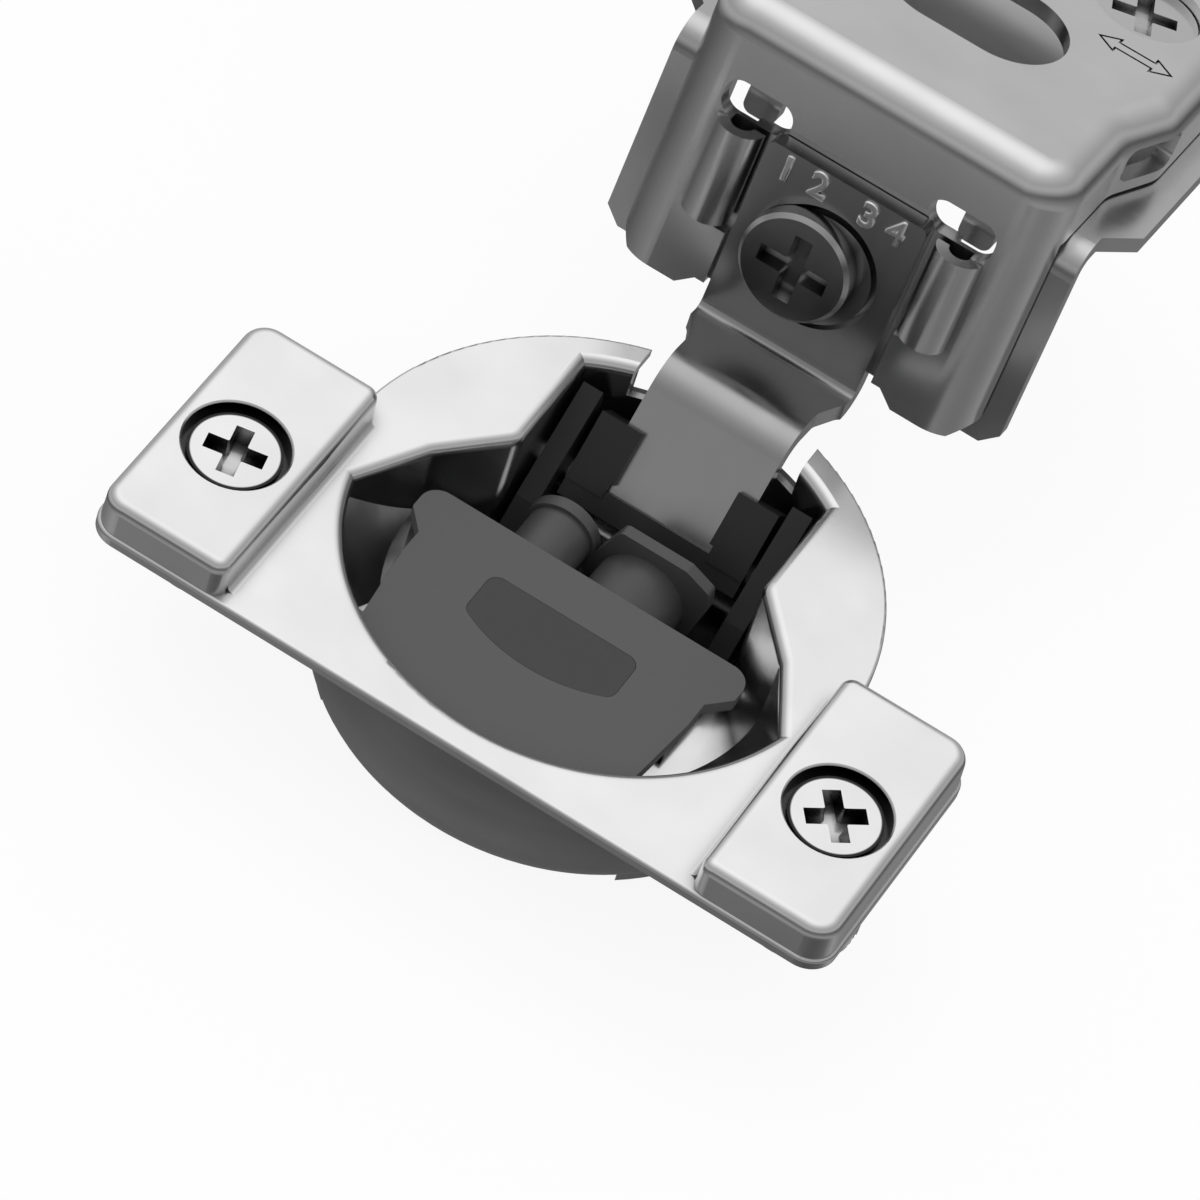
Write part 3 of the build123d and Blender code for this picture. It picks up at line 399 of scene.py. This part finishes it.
@dataclass(frozen=True)
class CupPlating(Plating):
    """Nickel on the flange and inside, and matt grey casting on the barrel's outside."""

    casting_low: float = 0.085
    casting_high: float = 0.210
    casting_metal: float = 0.35
    casting_roughness: float = 0.5
    speckle: float = 0.15
    speckle_scale: float = 2600.0
    streak_scale: tuple[float, float, float] = (60.0, 60.0, 260.0)
    streak_share: float = 0.8
    cup_depth: float = 12.0 * MM
    barrel_round: float = 4.2 * MM
    barrel_radius: float = 17.5 * MM
    straight_depth: float = 7.8 * MM
    skin_depth: float = 0.45 * MM
    skin_fade: float = 0.10 * MM
    rim_fade: float = 0.20 * MM
    screw_x: float = 22.5 * MM
    screw_y: float = -9.5 * MM
    sink_radius: float = 3.68 * MM
    sink_fade: float = 0.06 * MM
    sink_start: float = 0.04 * MM
    sink_full: float = 0.20 * MM
    sink_tone: float = 0.05
    wing_top: float = 3.5 * MM

    def tint(self, bench: Bench) -> Wire:
        """Adds the nickel's colour, with painted shade in corners and in the screw sinks.

        Args:
            bench: The material's bench.

        Returns:
            The colour.
        """
        _, _, z = bench.place()
        reach = bench.from_screw(self.screw_x, self.screw_y)
        # Painted shade: inside the screw sinks, below the wing's top, the nickel turns near black.
        inside = 1.0 - reach.step(self.sink_radius - self.sink_fade, self.sink_radius + self.sink_fade)
        depth = (self.wing_top - z).step(self.sink_start, self.sink_full)
        return bench.blend(inside * depth, super().tint(bench), grey(self.sink_tone))

    def outside(self, bench: Bench) -> Wire:
        """Marks the barrel's outside, under the flange.

        Args:
            bench: The material's bench.

        Returns:
            1 on the barrel's outside and 0 elsewhere.
        """
        x, y, z = bench.place()
        wide = ((x * x + y * y) ** 0.5 - (self.barrel_radius - self.barrel_round)).at_least(0.0)
        deep = (-self.straight_depth - z).at_least(0.0)
        skin = (wide * wide + deep * deep) ** 0.5
        limit = self.barrel_round - self.skin_depth
        return skin.step(limit, limit + self.skin_fade) * (0.0 - z).step(0.0, self.rim_fade)

    def shader(self, bench: Bench) -> Wire:
        """Adds both surfaces, mixed at the flange's underside.

        Args:
            bench: The material's bench.

        Returns:
            The surface's shader.
        """
        _, _, z = bench.place()
        speckle = bench.noise(evenly(self.speckle_scale), SOFT_DETAIL)
        streaks = bench.noise(self.streak_scale, SOFT_DETAIL)
        # Painted shade: the casting's grey darkens from the barrel's bottom up to the flange's underside;
        # the streaks are uneven tone of its own.
        shade = (z + self.cup_depth) / self.cup_depth + (streaks - 0.5) * self.streak_share
        tone = bench.blend(shade.step(0.0, 1.0), grey(self.casting_high), grey(self.casting_low))
        casting = bench.node("ShaderNodeBsdfPrincipled", inputs={
            "Base Color": tone, "Metallic": self.casting_metal, "Roughness": self.casting_roughness,
            "Normal": bench.bump(self.speckle, self.ripple_depth, speckle)})
        return bench.node("ShaderNodeMixShader", inputs={
            0: self.outside(bench), 1: super().shader(bench), 2: casting})


@dataclass(frozen=True)
class ScrewPlating(Plating):
    """Zinc on a cup screw, with a ring of painted shade round its head."""

    screw_x: float = 22.5 * MM
    screw_y: float = -9.5 * MM
    ring_inner: float = 2.88 * MM
    ring_outer: float = 2.98 * MM
    ring_tone: float = 0.03

    def tint(self, bench: Bench) -> Wire:
        """Adds the zinc's colour, with painted shade at the head's edge.

        Args:
            bench: The material's bench.

        Returns:
            The colour.
        """
        # Painted shade: the head's rim, out from about 2.9 mm off its axis, turns near black like the gap
        # to its sink.
        edge = bench.from_screw(self.screw_x, self.screw_y).step(self.ring_inner, self.ring_outer)
        return bench.blend(edge, super().tint(bench), grey(self.ring_tone))


@dataclass(frozen=True)
class Moulding(Finish):
    """Moulded plastic with a fine eroded grain."""

    roughness: float = 0.5
    roughness_swing: float = 0.15
    grain: float = 5200.0
    grain_strength: float = 0.12
    grain_depth: float = 0.02 * MM
    mottle: float = 0.06
    cloud_scale: float = 220.0

    def shader(self, bench: Bench) -> Wire:
        """Adds the moulded surface.

        Args:
            bench: The material's bench.

        Returns:
            The surface's shader.
        """
        fine = bench.noise(evenly(self.grain), SOFT_DETAIL)
        return bench.node("ShaderNodeBsdfPrincipled", inputs={
            "Base Color": bench.cloudy(self.tone, self.mottle, self.cloud_scale), "Metallic": 0.0,
            "Roughness": (fine - 0.5) * self.roughness_swing + self.roughness,
            "Normal": bench.bump(self.grain_strength, self.grain_depth, fine)})


def dress(node: str, finish: Finish) -> None:
    """Gives a piece of the frame its finish.

    Args:
        node: The name of the piece.
        finish: The finish to build.
    """
    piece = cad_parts[node]
    piece.data.materials.clear()
    piece.data.materials.append(finish.material())
    LOG.info("%s: %s", node, finish.name)


def put(name: str, data: bpy.types.ID) -> bpy.types.Object:
    """Puts a mesh, curve, lamp or camera in the scene.

    Args:
        name: The object's name.
        data: What it shows.

    Returns:
        The object, at the origin.
    """
    piece = bpy.data.objects.new(name, data)
    bpy.context.scene.collection.objects.link(piece)
    return piece


def put_form(name: str, form: bmesh.types.BMesh) -> bpy.types.Object:
    """Turns a finished form into an object and frees it.

    Args:
        name: The object's name.
        form: The form, in its final place.

    Returns:
        The object, at the origin.
    """
    mesh = bpy.data.meshes.new(name)
    form.to_mesh(mesh)
    form.free()
    return put(name, mesh)


@dataclass
class Cup:
    """The cup with its screws, dowels and pin."""

    nickel: CupPlating = CupPlating("cup_nickel", 0.80, 0.20, grain=(300.0, 300.0, 300.0),
                                    wave=0.12 * MM, wave_scale=75.0, corner_reach=1.5 * MM)
    screw: ScrewPlating = ScrewPlating("screw_zinc", 0.80, 0.18, corner_tone=0.03,
                                       corner_reach=1.6 * MM)
    pin: Plating = Plating("pin_steel", 0.50, 0.22)
    dowel: Moulding = Moulding("dowel_nylon", 0.34, 0.42)

    def build(self) -> None:
        """Dresses the cup's own pieces."""
        dress("cup", self.nickel)
        dress("pivot_pin", self.pin)
        for side in ("left", "right"):
            dress(f"dowel_{side}", self.dowel)
            dress(f"dowel_screw_{side}", self.screw)


@dataclass
class Damper:
    """The soft-close unit in the cup."""

    frame_black: Moulding = Moulding("frame_black", 0.010, 0.42)
    cover_grey: Moulding = Moulding("cover_grey", 0.095, 0.75, grain_strength=0.05, mottle=0.01)
    panel_grey: Moulding = Moulding("panel_grey", 0.051, 0.75, grain_strength=0.05, mottle=0.01)
    slider_grey: Moulding = Moulding("slider_grey", 0.060, 0.38)
    steel: Plating = Plating("damper_steel", 0.55, 0.25)
    wire_radius: float = 0.22 * MM
    wire_sides: int = 10
    spring_turns: int = 8
    turn_steps: int = 24
    slider_stroke: float = 3.8 * MM

    def spring(self) -> bpy.types.Object:
        """Winds the closing spring.

        Returns:
            The spring's object.
        """
        low, high = (Vector(corner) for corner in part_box("closing_spring"))
        middle = (low + high) / 2.0
        ring = (high.x - low.x) / 2.0 - self.wire_radius
        length = high.y - low.y - 2.0 * self.wire_radius
        steps = self.spring_turns * self.turn_steps
        start = Vector((middle.x, low.y + self.wire_radius, middle.z))
        form = bmesh.new()
        bmesh.ops.create_circle(form, cap_ends=False, segments=self.wire_sides, radius=self.wire_radius)
        bmesh.ops.translate(form, verts=form.verts, vec=(ring, 0.0, 0.0))
        bmesh.ops.spin(form, geom=form.verts[:] + form.edges[:], cent=(0.0, 0.0, 0.0), axis=(0.0, 1.0, 0.0),
                       dvec=(0.0, length / steps, 0.0), angle=math.tau * self.spring_turns, steps=steps)
        bmesh.ops.holes_fill(form, edges=form.edges[:], sides=self.wire_sides)
        bmesh.ops.recalc_face_normals(form, faces=form.faces[:])
        bmesh.ops.translate(form, verts=form.verts, vec=start)
        for face in form.faces:
            face.smooth = True
        piece = put_form("wound_spring", form)
        piece.data.materials.append(self.steel.material())
        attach(piece, Body.CUP.value)
        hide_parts("closing_spring")
        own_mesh(piece)
        return piece

    def build(self) -> None:
        """Dresses the damper's pieces and winds its spring."""
        dress("inner_frame", self.frame_black)
        dress("damper_cover", self.cover_grey)
        dress("cover_panel", self.panel_grey)
        dress("damper_slider", self.slider_grey)
        for node in ("damper_body", "damper_rod", "spring_guide"):
            dress(node, self.steel)
        LOG.info("%s: %s", self.spring().name, self.steel.name)


@dataclass
class Arm:
    """The folded arm, its black shoe and the numerals stamped over the screw."""

    fold: tuple[float, float, float] = (0.0, 23.5 * MM, 0.3 * MM)
    lean_deg: float = 12.7
    numeral_x_mm: tuple[float, ...] = (-4.2, -1.8, 2.0, 4.1)
    numeral_foot_mm: tuple[float, ...] = (12.15, 12.3, 12.2, 12.2)
    numeral_height: float = 1.8 * MM
    figure_share: float = 0.69
    numeral_rise: float = 0.08 * MM
    numeral_round: float = 0.13 * MM
    round_steps: int = 3
    steel: Plating = Plating("arm_steel", 0.43, 0.24, ripple=0.008, grain=(900.0, 200.0, 200.0),
                             wave=0.10 * MM, corner_reach=1.0 * MM)
    # Painted highlight: the numerals are the tab's own steel, given a far brighter tone than the arm so
    # that they read as lit strokes.
    stamped: Plating = Plating("numeral_highlight_steel", 0.96, 0.20)
    shoe: Moulding = Moulding("shoe_black", 0.012, 0.40)

    def seat(self) -> Matrix:
        """Works out how the tab's face lies.

        Returns:
            The matrix from the face (x, up, out) to the part's frame.
        """
        lean = math.radians(self.lean_deg)
        along = Vector((1.0, 0.0, 0.0))
        rise = Vector((0.0, math.sin(lean), math.cos(lean)))
        turn = Matrix((along, rise, along.cross(rise))).transposed()
        return Matrix.Translation(Vector(self.fold)) @ turn.to_4x4()

    def numeral(self, figure: str, x_mm: float, foot_mm: float) -> bpy.types.Object:
        """Builds one raised numeral on the tab.

        Args:
            figure: The figure.
            x_mm: Its middle along x.
            foot_mm: Its foot, up the tab from the fold.

        Returns:
            The numeral's object.
        """
        name = f"numeral_{figure}"
        curve = bpy.data.curves.new(name, "FONT")
        curve.body = figure
        curve.align_x = "CENTER"
        curve.size = self.numeral_height / self.figure_share
        curve.extrude = self.numeral_rise
        curve.bevel_depth = self.numeral_round
        curve.bevel_resolution = self.round_steps
        shape = put("numeral_curve", curve)
        bpy.context.view_layer.update()
        mesh = bpy.data.meshes.new_from_object(shape)
        bpy.data.objects.remove(shape)
        mesh.name = name
        mesh.transform(self.seat() @ Matrix.Translation((x_mm * MM, foot_mm * MM, 0.0)))
        mesh.materials.clear()
        mesh.materials.append(self.stamped.material())
        piece = put(name, mesh)
        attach(piece, Body.ARM.value)
        return piece

    def build(self) -> None:
        """Dresses the arm and adds its numerals."""
        dress("arm_strap", self.steel)
        dress("cam_shoe", self.shoe)
        places = zip(self.numeral_x_mm, self.numeral_foot_mm)
        for figure, (x_mm, foot_mm) in enumerate(places, start=1):
            LOG.info("%s: %s", self.numeral(str(figure), x_mm, foot_mm).name, self.stamped.name)


@dataclass
class Bracket:
    """The housing, the base and both cam screws."""

    housing: Plating = Plating("housing_nickel", 0.74, 0.24, ripple=0.03, grain=(240.0, 900.0, 240.0),
                               wave=0.12 * MM, wave_scale=70.0)
    base: Plating = Plating("base_nickel", 0.62, 0.24, ripple=0.03, grain=(240.0, 900.0, 240.0))
    cam: Plating = Plating("cam_dark_nickel", 0.46, 0.20, corner_tone=0.03, corner_reach=0.9 * MM)
    washer: Plating = Plating("washer_steel", 0.50, 0.22)
    height_screw: Plating = Plating("height_screw_zinc", 0.70, 0.16)

    def build(self) -> None:
        """Dresses the bracket's pieces."""
        dress("bracket_housing", self.housing)
        dress("bracket_base", self.base)
        dress("overlay_cam_screw", self.cam)
        dress("overlay_cam_washer", self.washer)
        dress("height_cam_screw", self.height_screw)


@dataclass(frozen=True)
class Lamp:
    """A soft square lamp aimed at the part. The metal doesn't mirror it."""

    name: str
    place: tuple[float, float, float]
    side: float
    watts: float
    target: tuple[float, float, float] = (0.0, 0.015, 0.0)

    def build(self) -> None:
        """Hangs the lamp."""
        data = bpy.data.lights.new(self.name, "AREA")
        data.energy = self.watts
        data.size = self.side
        lamp = put(self.name, data)
        lamp.location = self.place
        # A bright square in the plating would hide the graded room.
        lamp.visible_glossy = False
        aim = Vector(self.target) - Vector(self.place)
        lamp.rotation_euler = aim.to_track_quat("-Z", "Y").to_euler()


@dataclass
class Studio:
    """Camera, lamps, pale floor and the room that the metal mirrors."""

    camera_place: tuple[float, float, float] = (89.7948 * MM, -319.5238 * MM, 389.7080 * MM)
    camera_turn_deg: tuple[float, float, float] = (38.6072, -12.2631, 30.4640)
    lens_mm: float = 240.0
    sensor_mm: float = 36.0
    nearest: float = 0.01
    farthest: float = 100.0
    lamps: tuple[Lamp, ...] = (Lamp("key_lamp", (-0.35, 0.25, 0.85), 0.60, 1.4),
                               Lamp("side_lamp", (0.65, -0.10, 0.40), 0.40, 0.7))
    key_axis: tuple[float, float, float] = (-0.30, 0.38, 0.875)
    room: tuple[tuple[float, float], ...] = (
        (0.00, 0.08), (0.07, 0.14), (0.15, 0.34), (0.24, 0.24), (0.34, 0.16), (0.40, 0.05),
        (0.45, 0.22), (0.53, 0.40), (0.60, 0.50), (0.68, 0.36), (0.80, 0.50), (0.88, 0.62),
        (0.95, 0.92), (1.00, 1.10))
    fill: float = 0.85
    floor_z: float = -12.06 * MM
    floor_half: float = 12.0
    floor_tone: float = 0.9
    floor_glow: float = 0.90

    def add_camera(self) -> None:
        """Adds the camera at the photograph's viewing angle."""
        data = bpy.data.cameras.new("camera")
        data.lens = self.lens_mm
        data.sensor_width = self.sensor_mm
        data.clip_start = self.nearest
        data.clip_end = self.farthest
        camera = put("camera", data)
        camera.location = self.camera_place
        camera.rotation_euler = Euler([math.radians(a) for a in self.camera_turn_deg], "XYZ")
        bpy.context.scene.camera = camera

    def add_world(self) -> None:
        """Adds a white room for the camera and a graded one for what the metal mirrors."""
        world = bpy.data.worlds.new("room")
        bpy.context.scene.world = world
        world.use_nodes = True
        bench = Bench(world.node_tree)
        heading = bench.node("ShaderNodeTexCoord", output="Generated")
        rise = bench.node("ShaderNodeVectorMath", {"operation": "DOT_PRODUCT"},
                          {0: heading, 1: self.key_axis}, output="Value")
        ramp = bench.node("ShaderNodeValToRGB", {"stops": self.room}, {"Fac": rise * 0.5 + 0.5})
        camera = bench.node("ShaderNodeLightPath", output="Is Camera Ray")
        lit = bench.blend(camera.sibling("Is Glossy Ray"), grey(self.fill), ramp)
        seen = bench.blend(camera, lit, grey(1.0))
        back = bench.node("ShaderNodeBackground", inputs={"Color": seen, "Strength": 1.0})
        bench.node("ShaderNodeOutputWorld", inputs={"Surface": back})

    def paper(self) -> bpy.types.Material:
        """Builds the floor's paper, which the camera sees near white and dimmed by a shadow.

        Returns:
            The paper's material.
        """
        made = bpy.data.materials.new("floor_paper")
        made.use_nodes = True
        bench = Bench(made.node_tree)
        matt = bench.node("ShaderNodeBsdfDiffuse", inputs={"Color": grey(self.floor_tone)})
        glow = bench.node("ShaderNodeEmission", inputs={"Color": grey(1.0), "Strength": 1.0})
        camera = bench.node("ShaderNodeLightPath", output="Is Camera Ray")
        seen = (camera + camera.sibling("Is Transmission Ray")).at_most(1.0) * self.floor_glow
        mixed = bench.node("ShaderNodeMixShader", inputs={0: seen, 1: matt, 2: glow})
        bench.node("ShaderNodeOutputMaterial", inputs={"Surface": mixed})
        return made

    def add_floor(self) -> None:
        """Adds the pale floor under the cup."""
        form = bmesh.new()
        bmesh.ops.create_grid(form, x_segments=1, y_segments=1, size=self.floor_half)
        bmesh.ops.translate(form, verts=form.verts, vec=(0.0, 0.0, self.floor_z))
        floor = put_form("floor", form)
        floor.data.materials.append(self.paper())
        # Mirrored, it turns every front face of the plating white, so the metal mirrors the room instead.
        floor.visible_glossy = False

    def build(self) -> None:
        """Sets up the whole studio."""
        self.add_camera()
        self.add_world()
        self.add_floor()
        for lamp in self.lamps:
            lamp.build()
        bpy.context.scene.view_settings.view_transform = "Standard"


def main() -> None:
    """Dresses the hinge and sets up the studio."""
    logging.basicConfig(level=logging.INFO, format="%(message)s")
    for assembly in (Cup(), Damper(), Arm(), Bracket(), Studio()):
        LOG.info("building %s", type(assembly).__name__)
        assembly.build()


if __name__ == "__main__":
    main()
